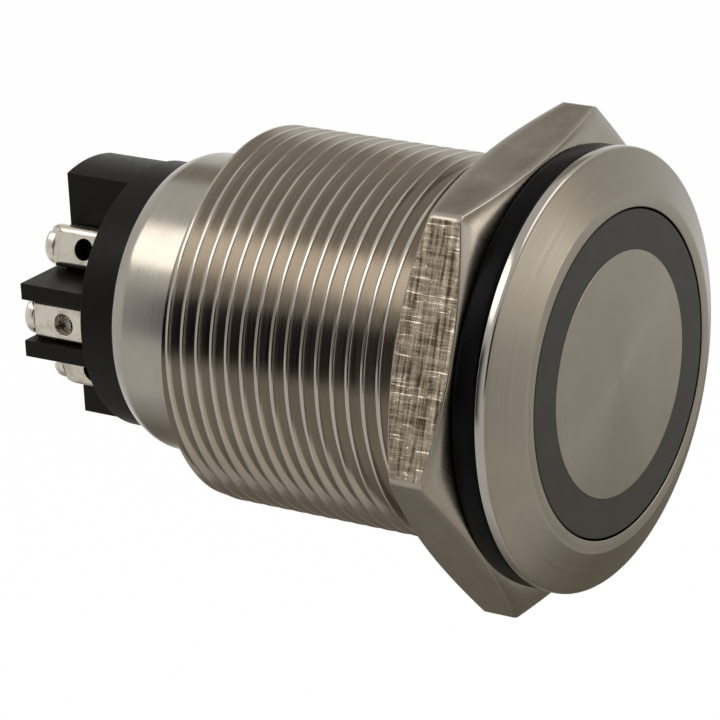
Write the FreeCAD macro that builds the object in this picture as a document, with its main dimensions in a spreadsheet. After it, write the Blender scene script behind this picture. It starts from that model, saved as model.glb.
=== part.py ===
import FreeCAD, Part
import Sketcher
import math
import os
import re

# Push button for a 22 mm panel hole: a turned steel body, a lit button that slides in it,
# a contact module behind and six screw terminals round the rear end.
# All sizes are in millimetres. The button's axis is Y: its face looks to -Y, the terminals to +Y.
# The origin is on the axis, in the plane of the bezel's underside, where the panel is clamped.
# A clock angle is taken round the axis from +Z towards -X.

SIZES = {
    # Turned steel body
    "thread_radius": 10.97,
    "thread_end": 21.75,
    "bezel_overhang": 1.53,
    "bezel_height": 1.76,
    "rim_height": 0.57,
    "bevel_width": 2.5,
    "front_wall": 1.67,
    "chamber_share": 0.72,
    "neck_wall": 0.9,
    "neck_chamfer": 0.6,
    "web_front": 7.0,
    "web_thickness": 3.0,
    "guide_gap": 0.08,
    # Button: cap, light ring, plunger, seal and clip
    "travel": 2.5,
    "button_gap": 0.1,
    "ring_recess": 0.04,
    "ring_width": 2.25,
    "cap_thickness": 1.2,
    "seat_gap": 0.01,
    "ring_floor": 2.2,
    "plunger_share": 0.32,
    "plunger_seat": 1.6,
    "seal_thickness": 0.5,
    "seal_width": 2.39,
    "seal_gap": 0.02,
    "clip_gap": 0.05,
    "clip_thickness": 0.5,
    "clip_depth": 0.6,
    "clip_reach": 0.9,
    "clip_land": 0.6,
    "clip_opening": 70.0,
    "tail_step": 1.7,
    # Springs
    "return_inset": 0.5,
    "return_wire": 0.5,
    "return_turns": 3.0,
    "carrier_spring_radius": 1.5,
    "carrier_wire": 0.36,
    "carrier_turns": 4.0,
    # Lamp board and its leads
    "board_gap": 0.3,
    "board_thickness": 0.8,
    "led_inset": 1.1,
    "led_length": 1.6,
    "led_width": 0.9,
    "led_height": 0.6,
    "lead_thickness": 0.3,
    "lead_width": 0.6,
    "lead_clearance": 0.15,
    # Contact module
    "clock_angle": 5.0,
    "housing_gap": 0.15,
    "housing_wall": 0.75,
    "housing_clearance": 0.22,
    "housing_plate": 1.0,
    "neck_width": 4.0,
    "neck_clearance": 0.1,
    "neck_reach": 1.2,
    "carrier_gap": 0.4,
    "carrier_block": 5.2,
    "carrier_clearance": 0.05,
    "carrier_depth": 2.4,
    "strip_angle": 50.0,
    "strip_share": 0.677,
    "strip_width": 1.3,
    "strip_thickness": 0.4,
    "pad_length": 1.65,
    "contact_inset": 1.15,
    "tip_width": 0.9,
    "tip_height": 0.4,
    "leaf_thickness": 0.3,
    "leaf_width": 1.0,
    "leaf_clearance": 0.02,
    "nc_step": 0.4,
    "no_step": 2.4,
    "nc_gap": 0.02,
    "no_gap": 0.05,
    # Moulded base
    "base_gap": 0.03,
    "deck_gap": 0.5,
    "spigot_length": 3.6,
    "collar_length": 2.4,
    "arm_length": 4.6,
    "core_gap": 0.15,
    "block_step": 0.12,
    "block_width": 4.3,
    "wall_step": 0.57,
    "wall_width": 4.5,
    "slot_gap": 0.05,
    "pocket_gap": 0.42,
    "pocket_depth": 2.0,
    # Screw terminals
    "side_step": 0.87,
    "corner_step": 0.63,
    "corner_turn": 22.5,
    "clamp_root": 0.75,
    "clamp_length": 4.75,
    "clamp_width": 2.4,
    "clamp_depth": 2.0,
    "clamp_sheet": 0.5,
    "wire_hole": 0.65,
    "wire_hole_depth": 2.65,
    "screw_inset": 1.1,
    "screw_head_radius": 1.2,
    "screw_head_height": 1.0,
    "screw_radius": 0.5,
    "screw_hole_gap": 0.05,
    "screw_length": 1.3,
    "screw_slot_width": 0.5,
    "screw_slot_depth": 0.6,
    # Panel gasket and nut
    "gasket_thickness": 1.55,
    "gasket_inset": 0.05,
    "gasket_gap": 0.03,
    "nut_wall": 1.555,
    "nut_thickness": 3.9,
    "nut_gap": 0.06,
    "nut_face_inset": 0.325,
    "nut_front_bevel": 0.89,
    "nut_rear_bevel": 1.09,
    "nut_turn": 16.0,
}

doc = FreeCAD.newDocument("PushButton")
sheet = doc.addObject("Spreadsheet::Sheet", "Sizes")
for row, (name, value) in enumerate(SIZES.items(), 1):
    sheet.set("A%d" % row, name)
    sheet.set("B%d" % row, str(value))
    sheet.setAlias("B%d" % row, name)
doc.recompute()

NODES = []

# Places along the axis and radii that several pieces share. Each is built up from the ones
# before it, so the stack inside the barrel sets how long the barrel is.
BEZEL_FACE = "-bezel_height"
CAP_REAR = "(%s + cap_thickness)" % BEZEL_FACE
RING_FACE = "(%s + ring_recess)" % BEZEL_FACE
RING_REAR = "(%s + ring_floor)" % CAP_REAR
PLUNGER_FACE = "(%s - plunger_seat)" % RING_REAR
SEAL_FACE = "(web_front - seal_thickness)"
WEB_REAR = "(web_front + web_thickness)"
CLIP_FRONT = "(%s + clip_gap)" % WEB_REAR
CLIP_REAR = "(%s + clip_thickness)" % CLIP_FRONT
LAND_REAR = "(%s + clip_land)" % CLIP_REAR
HOUSING_FACE = "(%s + travel + housing_gap)" % LAND_REAR
PLATE_REAR = "(%s + housing_plate)" % HOUSING_FACE
CARRIER_FACE = "(%s - neck_reach)" % HOUSING_FACE
BLOCK_FRONT = "(%s + carrier_gap)" % PLATE_REAR
BLOCK_REAR = "(%s + carrier_block)" % BLOCK_FRONT
DECK = "(%s + travel + deck_gap)" % BLOCK_REAR
BARREL_REAR = "(%s + spigot_length)" % DECK
COLLAR_REAR = "(%s + collar_length)" % BARREL_REAR
ARM_REAR = "(%s + arm_length)" % COLLAR_REAR
CLAMP_FRONT = "(%s - clamp_root)" % COLLAR_REAR
CLAMP_REAR = "(%s + clamp_length)" % CLAMP_FRONT
NC_PAD = "(%s + nc_step)" % BLOCK_FRONT
NC_LEAF = "(%s + strip_thickness + tip_height + nc_gap + tip_height)" % NC_PAD
NO_LEAF_REAR = "(%s + no_step)" % BLOCK_FRONT
NO_PAD_REAR = ("(%s + tip_height + travel + no_gap + tip_height + strip_thickness)"
               % NO_LEAF_REAR)
BEZEL_RADIUS = "(thread_radius + bezel_overhang)"
LAND_RADIUS = "(%s - bevel_width)" % BEZEL_RADIUS
WELL_RADIUS = "(thread_radius - front_wall)"
RING_RADIUS = "(%s - button_gap)" % WELL_RADIUS
CAP_RADIUS = "(%s - ring_width)" % RING_RADIUS
PLUNGER_RADIUS = "(thread_radius * plunger_share)"
SEAL_RADIUS = "(%s + seal_width)" % PLUNGER_RADIUS
TAIL_RADIUS = "(%s - tail_step)" % PLUNGER_RADIUS
CHAMBER_RADIUS = "(thread_radius * chamber_share)"
NECK_RADIUS = "(%s + neck_wall)" % CHAMBER_RADIUS
BASE_RADIUS = "(%s - base_gap)" % CHAMBER_RADIUS
BLOCK_RADIUS = "(%s - block_step)" % BASE_RADIUS
SIDE_REACH = "(%s - side_step)" % BASE_RADIUS
STRIP_RADIUS = "(%s * strip_share)" % CHAMBER_RADIUS
STRIP_INNER = "(%s - strip_thickness)" % STRIP_RADIUS
CONTACT_RADIUS = "(%s - contact_inset)" % STRIP_RADIUS
CORNER_REACH = "(%s + corner_step)" % STRIP_RADIUS
CORNER_SCREW = ("sqrt((%s - screw_inset * cos(corner_turn)) ^ 2"
                " + (screw_inset * sin(corner_turn)) ^ 2)" % CORNER_REACH)
CORE_RADIUS = "(%s - screw_head_radius - core_gap)" % CORNER_SCREW
INNER_WIDTH = ("(%s * sin(strip_angle) + strip_width / 2 * cos(strip_angle)"
               " + housing_clearance)" % STRIP_RADIUS)
INNER_DEPTH = ("(%s * cos(strip_angle) + strip_width / 2 * sin(strip_angle)"
               " + housing_clearance)" % STRIP_RADIUS)


def tied(text):
    """An expression on the sheet from one written with plain size names."""
    return re.sub(r"\b(%s)\b" % "|".join(SIZES), r"Sizes.\1", text)


def size(text):
    """The value that an expression has now."""
    return float(sheet.evalExpression(tied(text)))


def new_body(label):
    body = doc.addObject("PartDesign::Body", label)
    body.Label = label
    NODES.append(body)
    return body


def new_sketch(body, role, offset="0"):
    """An empty sketch on one of the body's own planes; offset shifts it along the normal."""
    sketch = body.newObject("Sketcher::SketchObject", body.Name + "_sketch")
    plane = [item for item in body.Origin.OriginFeatures if item.Role == role][0]
    sketch.AttachmentSupport = [(plane, "")]
    sketch.MapMode = "FlatFace"
    sketch.setExpression("AttachmentOffset.Base.z", tied(offset))
    return sketch


def fix_point(sketch, item, vertex, across, up):
    """Ties one vertex to the sketch's origin by its two distances."""
    for kind, text in (("DistanceX", across), ("DistanceY", up)):
        index = sketch.addConstraint(
            Sketcher.Constraint(kind, -1, 1, item, vertex, size(text)))
        sketch.setExpression("Constraints[%d]" % index, tied(text))


def draw_outline(sketch, points):
    """A closed outline of straight lines through points, each a pair of expressions."""
    first = sketch.GeometryCount
    places = [FreeCAD.Vector(size(across), size(up), 0) for across, up in points]
    count = len(points)
    for index in range(count):
        end = places[(index + 1) % count]
        sketch.addGeometry(Part.LineSegment(places[index], end))
    for index in range(count):
        following = first + (index + 1) % count
        sketch.addConstraint(Sketcher.Constraint("Coincident", first + index, 2, following, 1))
    for index, (across, up) in enumerate(points):
        fix_point(sketch, first + index, 1, across, up)


def draw_circle(sketch, across, up, radius):
    centre = FreeCAD.Vector(size(across), size(up), 0)
    item = sketch.addGeometry(Part.Circle(centre, FreeCAD.Vector(0, 0, 1), size(radius)))
    fix_point(sketch, item, 3, across, up)
    index = sketch.addConstraint(Sketcher.Constraint("Radius", item, size(radius)))
    sketch.setExpression("Constraints[%d]" % index, tied(radius))


def draw_box(sketch, left, right, low, high):
    draw_outline(sketch, [(left, low), (right, low), (right, high), (left, high)])


def turn(body, points, kind="Revolution", angle="360"):
    """Revolves an outline of (place along Y, radius) points about the axis."""
    sketch = new_sketch(body, "YZ_Plane")
    draw_outline(sketch, points)
    feature = body.newObject("PartDesign::" + kind, body.Name + "_turned")
    feature.Profile = sketch
    feature.ReferenceAxis = (sketch, ["H_Axis"])
    feature.setExpression("Angle", tied(angle))
    return feature


def extrude(body, draw, start, end, kind="Pad"):
    """Pads or pockets what draw(sketch) draws in the XZ plane, from start to end along Y."""
    sketch = new_sketch(body, "XZ_Plane", "-(%s)" % end)
    draw(sketch)
    feature = body.newObject("PartDesign::" + kind, body.Name + "_part")
    feature.Profile = sketch
    feature.setExpression("Length", tied("%s - (%s)" % (end, start)))
    feature.Reversed = kind == "Pocket"
    return feature


def place_clock(item, angle):
    """Turns a piece about the button's axis, +Z towards -X."""
    item.setExpression("Placement.Rotation.Axis.y", "-1")
    item.setExpression("Placement.Rotation.Axis.z", "0")
    item.setExpression("Placement.Rotation.Angle", tied(angle))


def turned_point(across, up, angle):
    """A point given in a terminal's own directions, in the base's directions."""
    return ("((%s) * cos(%s) - (%s) * sin(%s))" % (across, angle, up, angle),
            "((%s) * sin(%s) + (%s) * cos(%s))" % (across, angle, up, angle))


def draw_turned_box(sketch, half, low, high, angle):
    """A box of half width half, from radius low to high, in the direction of angle."""
    draw_outline(sketch, [
        turned_point("-" + half, low, angle), turned_point(half, low, angle),
        turned_point(half, high, angle), turned_point("-" + half, high, angle)])


def seat_point(across, inward, place):
    """A point measured from the middle of a terminal's outer face: across it and inward."""
    angle, reach, facing = place
    left, up = turned_point(across, "-(%s)" % inward, facing)
    return ("(%s - %s * sin(%s))" % (left, reach, angle),
            "(%s + %s * cos(%s))" % (up, reach, angle))


def draw_seat_box(sketch, half, outer, inner, place):
    """A box of half width half across a terminal, from outer to inner below its outer face."""
    draw_outline(sketch, [
        seat_point("-" + half, outer, place), seat_point(half, outer, place),
        seat_point(half, inner, place), seat_point("-" + half, inner, place)])


def bezel_barrel():
    body = new_body("bezel_barrel")
    turn(body, [
        (BEZEL_FACE, WELL_RADIUS),
        (BEZEL_FACE, LAND_RADIUS),
        ("-rim_height", BEZEL_RADIUS),
        ("0", BEZEL_RADIUS),
        ("0", "thread_radius"),
        ("thread_end", "thread_radius"),
        ("thread_end", NECK_RADIUS),
        (BARREL_REAR + " - neck_chamfer", NECK_RADIUS),
        (BARREL_REAR, NECK_RADIUS + " - neck_chamfer"),
        (BARREL_REAR, CHAMBER_RADIUS),
        (WEB_REAR, CHAMBER_RADIUS),
        (WEB_REAR, PLUNGER_RADIUS + " + guide_gap"),
        ("web_front", PLUNGER_RADIUS + " + guide_gap"),
        ("web_front", WELL_RADIUS),
    ])

    def lead_slots(sketch):
        for angle in ("(90 + clock_angle)", "(270 + clock_angle)"):
            draw_turned_box(sketch, "(lead_width / 2 + lead_clearance)",
                            SIDE_REACH + " - lead_thickness - lead_clearance",
                            SIDE_REACH + " + lead_clearance", angle)
    extrude(body, lead_slots, "web_front", WEB_REAR, "Pocket")


def button_cap():
    body = new_body("button_cap")
    extrude(body, lambda sketch: draw_circle(sketch, "0", "0", CAP_RADIUS),
            BEZEL_FACE, CAP_REAR)


def light_ring():
    body = new_body("light_ring")
    turn(body, [
        (RING_FACE, CAP_RADIUS + " + seat_gap"),
        (RING_FACE, RING_RADIUS),
        (RING_REAR, RING_RADIUS),
        (RING_REAR, PLUNGER_RADIUS + " + seat_gap"),
        (PLUNGER_FACE, PLUNGER_RADIUS + " + seat_gap"),
        (PLUNGER_FACE, "0"),
        (CAP_REAR, "0"),
        (CAP_REAR, CAP_RADIUS + " + seat_gap"),
    ])


def plunger():
    body = new_body("plunger")
    groove = "(%s - clip_depth)" % PLUNGER_RADIUS
    turn(body, [
        (PLUNGER_FACE, "0"),
        (PLUNGER_FACE, PLUNGER_RADIUS),
        (CLIP_FRONT, PLUNGER_RADIUS),
        (CLIP_FRONT, groove),
        (CLIP_REAR, groove),
        (CLIP_REAR, PLUNGER_RADIUS),
        (LAND_REAR, PLUNGER_RADIUS),
        (LAND_REAR, TAIL_RADIUS),
        (CARRIER_FACE, TAIL_RADIUS),
        (CARRIER_FACE, "0"),
    ])


def plunger_seal():
    body = new_body("plunger_seal")

    def washer(sketch):
        draw_circle(sketch, "0", "0", SEAL_RADIUS)
        draw_circle(sketch, "0", "0", PLUNGER_RADIUS + " + seal_gap")
    extrude(body, washer, SEAL_FACE, "web_front")


def retaining_clip():
    body = new_body("retaining_clip")
    turn(body, [
        (CLIP_FRONT, PLUNGER_RADIUS + " - clip_depth"),
        (CLIP_FRONT, PLUNGER_RADIUS + " + clip_reach"),
        (CLIP_REAR, PLUNGER_RADIUS + " + clip_reach"),
        (CLIP_REAR, PLUNGER_RADIUS + " - clip_depth"),
    ], angle="360 - clip_opening")


def coil(label, radius, wire, turns, start, end):
    """A compression spring: five-sided wire in short straight runs round the axis."""
    feature = doc.addObject("Part::Feature", label)
    feature.Label = label
    runs_per_turn = 12
    count = int(round(size(turns) * runs_per_turn))
    first = size(start) + size(wire) / 2
    rise = (size(end) - size(start) - size(wire)) / count

    def corner(index):
        angle = 2 * math.pi * index / runs_per_turn
        return FreeCAD.Vector(size(radius) * math.sin(angle), first + rise * index,
                              size(radius) * math.cos(angle))
    path = Part.makePolygon([corner(index) for index in range(count + 1)])
    section = []
    for side in range(6):
        angle = 2 * math.pi * side / 5
        section.append(corner(0) + FreeCAD.Vector(0, math.cos(angle), 0) * (size(wire) / 2)
                       + FreeCAD.Vector(0, 0, math.sin(angle)) * (size(wire) / 2))
    profile = Part.makePolygon(section)
    feature.Shape = path.makePipeShell([profile], True, False, 1)
    feature.Placement = FreeCAD.Placement()
    NODES.append(feature)


def led_board():
    body = new_body("led_board")

    def board(sketch):
        draw_circle(sketch, "0", "0", RING_RADIUS)
        draw_circle(sketch, "0", "0", SEAL_RADIUS + " + board_gap")
    extrude(body, board, "web_front - board_thickness", "web_front")
    place_clock(body, "clock_angle")


def leds():
    """Four lamps on the board's front face, as one group."""
    group = doc.addObject("Part::Compound", "leds")
    group.Label = "leds"
    lamps = []
    for number in range(4):
        lamp = doc.addObject("Part::Box", "lamp_%d" % number)
        lamp.setExpression("Length", tied("led_length"))
        lamp.setExpression("Width", tied("led_height"))
        lamp.setExpression("Height", tied("led_width"))
        angle = "clock_angle + %d" % (45 + 90 * number)
        middle = "(%s - led_inset - led_width / 2)" % RING_RADIUS
        lamp.setExpression("Placement.Base.x", tied(
            "-%s * sin(%s) - led_length / 2 * cos(%s)" % (middle, angle, angle)))
        lamp.setExpression("Placement.Base.y", tied(
            "web_front - board_thickness - led_height"))
        lamp.setExpression("Placement.Base.z", tied(
            "%s * cos(%s) - led_length / 2 * sin(%s)" % (middle, angle, angle)))
        place_clock(lamp, angle)
        lamps.append(lamp)
    group.Links = lamps
    NODES.append(group)


def led_lead(label, angle):
    """A flat lead from the board's rear face to its terminal."""
    body = new_body(label)

    def section(sketch):
        draw_box(sketch, "-lead_width / 2", "lead_width / 2",
                 SIDE_REACH + " - lead_thickness", SIDE_REACH)
    extrude(body, section, "web_front", CLAMP_FRONT)
    place_clock(body, "clock_angle + " + angle)


def contact_housing():
    """A box open at the rear; the carrier's neck comes through its front plate."""
    body = new_body("contact_housing")

    def outside(sketch):
        draw_box(sketch, "-(%s + housing_wall)" % INNER_WIDTH, INNER_WIDTH + " + housing_wall",
                 "-(%s + housing_wall)" % INNER_DEPTH, INNER_DEPTH + " + housing_wall")

    def inside(sketch):
        draw_box(sketch, "-" + INNER_WIDTH, INNER_WIDTH, "-" + INNER_DEPTH, INNER_DEPTH)

    def neck_hole(sketch):
        half = "(neck_width / 2 + neck_clearance)"
        draw_box(sketch, "-" + half, half, "-" + half, half)
    extrude(body, outside, HOUSING_FACE, DECK)
    extrude(body, inside, PLATE_REAR, DECK, "Pocket")
    extrude(body, neck_hole, HOUSING_FACE, PLATE_REAR, "Pocket")
    place_clock(body, "clock_angle")


def contact_carrier():
    body = new_body("contact_carrier")

    def neck(sketch):
        draw_box(sketch, "-neck_width / 2", "neck_width / 2", "-neck_width / 2", "neck_width / 2")

    def block(sketch):
        half = "(%s - carrier_clearance)" % INNER_WIDTH
        draw_box(sketch, "-" + half, half, "-carrier_depth / 2", "carrier_depth / 2")

    def window(side):
        centre = "%s * %s * sin(strip_angle)" % (side, CONTACT_RADIUS)
        half = "(leaf_width / 2 + leaf_clearance)"

        def draw(sketch):
            draw_box(sketch, "%s - %s" % (centre, half), "%s + %s" % (centre, half),
                     "-carrier_depth", "carrier_depth")
        return draw
    extrude(body, block, BLOCK_FRONT, BLOCK_REAR)
    extrude(body, neck, CARRIER_FACE, BLOCK_FRONT)
    extrude(body, window("-1"), NC_LEAF + " - leaf_clearance",
            NC_LEAF + " + leaf_thickness + leaf_clearance", "Pocket")
    extrude(body, window("1"), NO_LEAF_REAR + " - leaf_thickness - leaf_clearance",
            NO_LEAF_REAR + " + leaf_clearance", "Pocket")
    place_clock(body, "clock_angle")


def bridge(label, side, leaf_front, leaf_rear, tip_front, tip_rear):
    """A contact leaf that spans two fixed contacts, with a tip at each end."""
    body = new_body(label)
    across = "%s * %s * sin(strip_angle)" % (side, CONTACT_RADIUS)
    reach = "(%s * cos(strip_angle))" % CONTACT_RADIUS

    def leaf(sketch):
        draw_box(sketch, across + " - leaf_width / 2", across + " + leaf_width / 2",
                 "-%s - tip_width / 2" % reach, "%s + tip_width / 2" % reach)

    def tips(sketch):
        for end in ("-" + reach, reach):
            draw_box(sketch, across + " - tip_width / 2", across + " + tip_width / 2",
                     end + " - tip_width / 2", end + " + tip_width / 2")
    extrude(body, leaf, leaf_front, leaf_rear)
    extrude(body, tips, tip_front, tip_rear)
    place_clock(body, "clock_angle")


def fixed_contact(label, angle, pad_front, pad_rear, tip_front, tip_rear):
    """A strip with its pad turned in at the front; it runs back through the base."""
    body = new_body(label)

    def strip(sketch):
        draw_box(sketch, "-strip_width / 2", "strip_width / 2", STRIP_INNER, STRIP_RADIUS)

    def pad(sketch):
        draw_box(sketch, "-strip_width / 2", "strip_width / 2",
                 STRIP_RADIUS + " - pad_length", STRIP_RADIUS)

    def tip(sketch):
        draw_box(sketch, "-tip_width / 2", "tip_width / 2",
                 CONTACT_RADIUS + " - tip_width / 2", CONTACT_RADIUS + " + tip_width / 2")
    extrude(body, strip, pad_front, CLAMP_FRONT)
    extrude(body, pad, pad_front, pad_rear)
    extrude(body, tip, tip_front, tip_rear)
    place_clock(body, "clock_angle + " + angle)


def clamp_places():
    """The middle of each terminal's outer face, as an angle and a reach, and where it faces.

    The base's own clock angle isn't in these. The corner terminals sit behind the fixed
    contacts and are turned a little towards the middle one of their row.
    """
    places = []
    for side in ("90", "270"):
        before = "(%s - (90 - strip_angle))" % side
        after = "(%s + (90 - strip_angle))" % side
        places.append((before, CORNER_REACH, "(%s + corner_turn)" % before))
        places.append((side, SIDE_REACH, side))
        places.append((after, CORNER_REACH, "(%s - corner_turn)" % after))
    return places


def switch_base():
    body = new_body("switch_base")
    pocket = "(carrier_spring_radius + carrier_wire / 2 + pocket_gap)"
    turn(body, [
        (DECK, pocket),
        (DECK, BASE_RADIUS),
        (COLLAR_REAR, BASE_RADIUS),
        (COLLAR_REAR, CORE_RADIUS),
        (ARM_REAR, CORE_RADIUS),
        (ARM_REAR, "0"),
        (DECK + " + pocket_depth", "0"),
        (DECK + " + pocket_depth", pocket),
    ])

    def blocks(sketch):
        draw_box(sketch, "-block_width / 2", "block_width / 2",
                 "-(%s + 1)" % BLOCK_RADIUS, BLOCK_RADIUS + " + 1")

    def trim(sketch):
        draw_circle(sketch, "0", "0", BLOCK_RADIUS)
        draw_circle(sketch, "0", "0", BLOCK_RADIUS + " + 2")

    def walls(sketch):
        reach = "(%s - wall_step)" % BASE_RADIUS
        draw_box(sketch, "-" + reach, reach, "-wall_width / 2", "wall_width / 2")

    def clamp_root(place):
        return lambda sketch: draw_seat_box(
            sketch, "(clamp_width / 2 + slot_gap)", "-slot_gap", "clamp_depth + slot_gap", place)

    def clamp_room(place):
        return lambda sketch: draw_seat_box(
            sketch, "(clamp_width / 2 + slot_gap)", "-%s" % BLOCK_RADIUS,
            "clamp_depth + slot_gap", place)

    def head_room(place):
        across, up = seat_point("0", "screw_inset", place)
        return lambda sketch: draw_circle(sketch, across, up, "screw_head_radius + slot_gap")

    def lead_slot(angle):
        return lambda sketch: draw_turned_box(
            sketch, "(lead_width / 2 + slot_gap)",
            SIDE_REACH + " - lead_thickness - slot_gap", SIDE_REACH + " + slot_gap", angle)

    def strip_slot(angle):
        return lambda sketch: draw_turned_box(
            sketch, "(strip_width / 2 + slot_gap)", STRIP_INNER + " - slot_gap",
            STRIP_RADIUS + " + slot_gap", angle)

    extrude(body, blocks, COLLAR_REAR, ARM_REAR)
    extrude(body, trim, COLLAR_REAR, ARM_REAR, "Pocket")
    extrude(body, walls, COLLAR_REAR, ARM_REAR)
    for place in clamp_places():
        extrude(body, clamp_root(place), CLAMP_FRONT, COLLAR_REAR, "Pocket")
        extrude(body, clamp_room(place), COLLAR_REAR, ARM_REAR, "Pocket")
        extrude(body, head_room(place), CLAMP_REAR, ARM_REAR, "Pocket")
    for side in ("90", "270"):
        for sign in ("-", "+"):
            angle = "(%s %s (90 - strip_angle))" % (side, sign)
            extrude(body, strip_slot(angle), DECK, CLAMP_FRONT, "Pocket")
        extrude(body, lead_slot(side), DECK, CLAMP_FRONT, "Pocket")
    place_clock(body, "clock_angle")


def place_terminal(item, place, inward="0"):
    """Sets a piece down at a terminal, some way inward from the middle of its outer face."""
    angle, reach, facing = place
    turned = "(clock_angle + %s)" % angle
    faced = "(clock_angle + %s)" % facing
    item.setExpression("Placement.Base.x", tied(
        "%s * sin(%s) - %s * sin(%s)" % (inward, faced, reach, turned)))
    item.setExpression("Placement.Base.z", tied(
        "%s * cos(%s) - %s * cos(%s)" % (reach, turned, inward, faced)))
    place_clock(item, faced)


def terminal_clamp(label, place):
    """A folded clamp: outer web with the wire hole, two side wings, rear seat for the screw."""
    body = new_body(label)
    half = "clamp_width / 2"
    inner = "(clamp_width / 2 - clamp_sheet)"

    def channel(sketch):
        draw_outline(sketch, [
            ("-" + half, "-clamp_depth"), ("-" + inner, "-clamp_depth"),
            ("-" + inner, "-clamp_sheet"), (inner, "-clamp_sheet"),
            (inner, "-clamp_depth"), (half, "-clamp_depth"), (half, "0"), ("-" + half, "0")])

    def seat(sketch):
        draw_box(sketch, "-" + half, half, "-clamp_depth", "0")
        draw_circle(sketch, "0", "-screw_inset", "screw_radius + screw_hole_gap")
    extrude(body, channel, CLAMP_FRONT, CLAMP_REAR + " - clamp_sheet")
    extrude(body, seat, CLAMP_REAR + " - clamp_sheet", CLAMP_REAR)
    hole = new_sketch(body, "XY_Plane")
    draw_circle(hole, "0", CLAMP_FRONT + " + wire_hole_depth", "wire_hole")
    pocket = body.newObject("PartDesign::Pocket", body.Name + "_hole")
    pocket.Profile = hole
    pocket.setExpression("Length", tied("clamp_sheet"))
    place_terminal(body, place)


def terminal_screws():
    """Six slotted screws, one in each clamp, as one group."""
    group = doc.addObject("Part::Compound", "terminal_screws")
    group.Label = "terminal_screws"
    screws = []
    for number, place in enumerate(clamp_places()):
        screw = doc.addObject("PartDesign::Body", "screw_%d" % number)
        head_rear = "(%s + screw_head_height)" % CLAMP_REAR
        turn(screw, [
            (CLAMP_REAR + " - screw_length", "0"),
            (CLAMP_REAR + " - screw_length", "screw_radius"),
            (CLAMP_REAR, "screw_radius"),
            (CLAMP_REAR, "screw_head_radius"),
            (head_rear, "screw_head_radius"),
            (head_rear, "0"),
        ])

        def slot(sketch):
            draw_box(sketch, "-screw_slot_width / 2", "screw_slot_width / 2",
                     "-2 * screw_head_radius", "2 * screw_head_radius")
        extrude(screw, slot, head_rear + " - screw_slot_depth", head_rear, "Pocket")
        place_terminal(screw, place, "screw_inset")
        screws.append(screw)
    group.Links = screws
    NODES.append(group)


def panel_gasket():
    body = new_body("panel_gasket")

    def washer(sketch):
        draw_circle(sketch, "0", "0", BEZEL_RADIUS + " - gasket_inset")
        draw_circle(sketch, "0", "0", "thread_radius + gasket_gap")
    extrude(body, washer, "0", "gasket_thickness")


def hex_nut():
    body = new_body("hex_nut")
    half_flats = "(thread_radius + nut_wall)"
    corner = "(%s * 2 / sqrt(3))" % half_flats
    front = "gasket_thickness"
    rear = "(gasket_thickness + nut_thickness)"

    def hexagon(sketch):
        points = []
        for step in range(6):
            angle = 60 * step
            points.append(("%s * sin(%d)" % (corner, angle), "%s * cos(%d)" % (corner, angle)))
        draw_outline(sketch, points)
        draw_circle(sketch, "0", "0", "thread_radius + nut_gap")
    extrude(body, hexagon, front, rear)
    face_radius = "(%s - nut_face_inset)" % half_flats
    outside = "(%s + 1)" % corner
    rise = "((%s - %s + 1) / (%s - %s))" % (corner, face_radius, corner, face_radius)
    turn(body, [
        (front, face_radius),
        (front + " + nut_front_bevel * " + rise, outside),
        (front, outside),
    ], "Groove")
    turn(body, [
        (rear, face_radius),
        (rear + " - nut_rear_bevel * " + rise, outside),
        (rear, outside),
    ], "Groove")
    place_clock(body, "-nut_turn")


bezel_barrel()
button_cap()
light_ring()
plunger()
plunger_seal()
retaining_clip()
coil("return_spring", "(%s - return_inset)" % SEAL_RADIUS, "return_wire", "return_turns",
     RING_REAR, SEAL_FACE)
led_board()
leds()
led_lead("led_lead_1", "90")
led_lead("led_lead_2", "270")
contact_housing()
contact_carrier()
coil("carrier_spring", "carrier_spring_radius", "carrier_wire", "carrier_turns",
     BLOCK_REAR, DECK + " + pocket_depth")
bridge("bridge_nc", "-1", NC_LEAF, NC_LEAF + " + leaf_thickness",
       NC_LEAF + " - tip_height", NC_LEAF)
bridge("bridge_no", "1", NO_LEAF_REAR + " - leaf_thickness", NO_LEAF_REAR,
       NO_LEAF_REAR, NO_LEAF_REAR + " + tip_height")
for number, angle in ((1, "strip_angle"), (2, "180 - strip_angle")):
    fixed_contact("fixed_contact_nc_%d" % number, angle, NC_PAD, NC_PAD + " + strip_thickness",
                  NC_PAD + " + strip_thickness",
                  NC_PAD + " + strip_thickness + tip_height")
for number, angle in ((1, "180 + strip_angle"), (2, "-strip_angle")):
    fixed_contact("fixed_contact_no_%d" % number, angle,
                  NO_PAD_REAR + " - strip_thickness", NO_PAD_REAR,
                  NO_PAD_REAR + " - strip_thickness - tip_height",
                  NO_PAD_REAR + " - strip_thickness")
switch_base()
for number, place in enumerate(clamp_places(), 1):
    terminal_clamp("terminal_clamp_%d" % number, place)
terminal_screws()
panel_gasket()
hex_nut()

doc.recompute()
for item in doc.Objects:
    if "Invalid" in item.State or "Error" in item.State:
        raise RuntimeError("%s failed: %s" % (item.Label, item.State))
for node in NODES:
    if node.Shape.isNull() or not node.Shape.isValid():
        raise RuntimeError("%s has no valid shape" % node.Label)

os.makedirs("parts", exist_ok=True)
for node in NODES:
    node.Shape.exportStep("parts/%s.step" % node.Label)
    print(node.Label, len(node.Shape.Solids), round(node.Shape.Volume, 3))
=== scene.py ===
import math

import bmesh
import bpy
from mathutils import Matrix, Vector


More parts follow.
